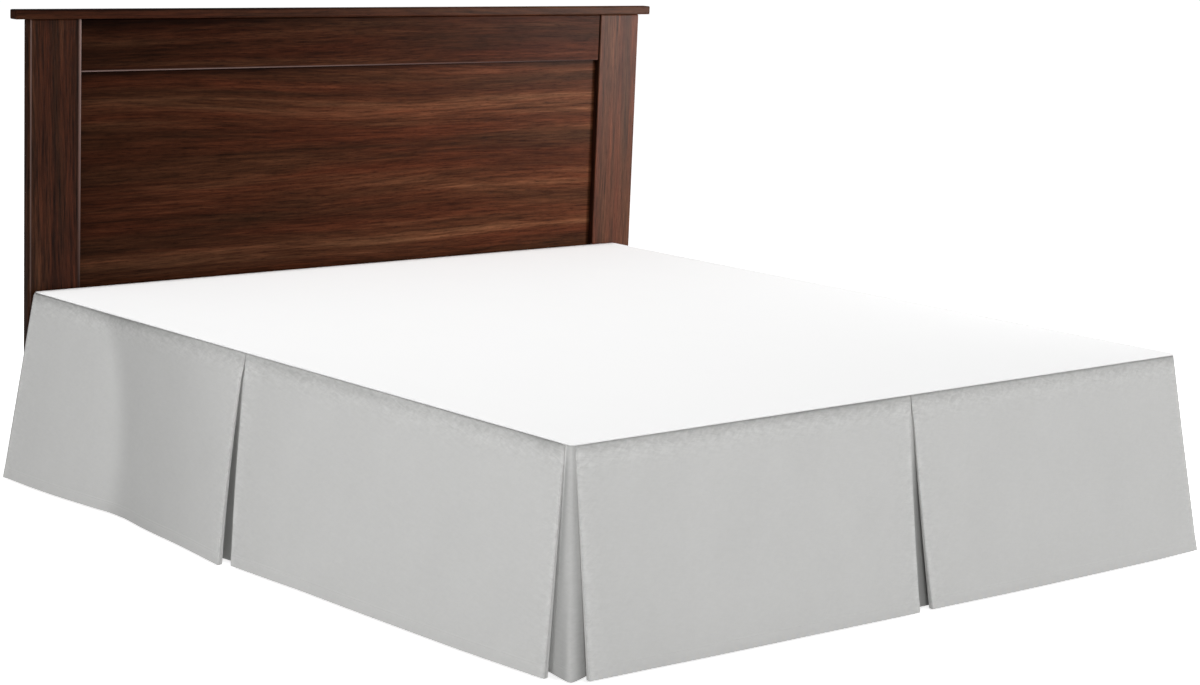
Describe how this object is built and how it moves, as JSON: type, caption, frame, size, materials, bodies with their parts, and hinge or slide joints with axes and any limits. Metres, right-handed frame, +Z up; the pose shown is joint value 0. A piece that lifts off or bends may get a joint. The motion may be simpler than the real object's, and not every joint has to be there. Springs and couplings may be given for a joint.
{
  "type": "bed skirt on a bed with a headboard",
  "caption": "Tailored bed skirt with inverted box pleats, draped over a plain foundation and frame, with a panelled wooden headboard.",
  "frame": {"origin": "on the floor, under the middle of the whole object's bounding box", "axes": "+Z up, +Y towards the headboard, +X to the right as seen from the foot of the bed"},
  "size_m": [2.1655, 2.1925, 1.161],
  "materials": {
    "deck_cloth": "white plain-woven sheeting, matt",
    "drop_cloth": "light grey brushed microfibre, matt with a faint nap",
    "foundation_ticking": "plain off-white ticking",
    "frame_wood": "plain planed softwood",
    "headboard_walnut": "dark walnut grain, satin"
  },
  "bodies": {
    "root": {"deck": "deck_cloth", "drop_side_left": "drop_cloth", "drop_foot": "drop_cloth", "drop_side_right": "drop_cloth", "corner_underlay_left": "drop_cloth", "corner_underlay_right": "drop_cloth", "foundation": "foundation_ticking", "side_rail_left": "frame_wood", "side_rail_right": "frame_wood", "cross_rail_foot": "frame_wood", "cross_rail_middle": "frame_wood", "cross_rail_head": "frame_wood", "leg_foot_left": "frame_wood", "leg_foot_centre": "frame_wood", "leg_foot_right": "frame_wood", "leg_middle_left": "frame_wood", "leg_middle_centre": "frame_wood", "leg_middle_right": "frame_wood", "leg_head_left": "frame_wood", "leg_head_centre": "frame_wood", "leg_head_right": "frame_wood", "headboard_cap": "headboard_walnut", "headboard_stile_left": "headboard_walnut", "headboard_stile_right": "headboard_walnut", "headboard_top_rail": "headboard_walnut", "headboard_panel": "headboard_walnut", "headboard_bottom_rail": "headboard_walnut"}
  },
  "joints": []
}
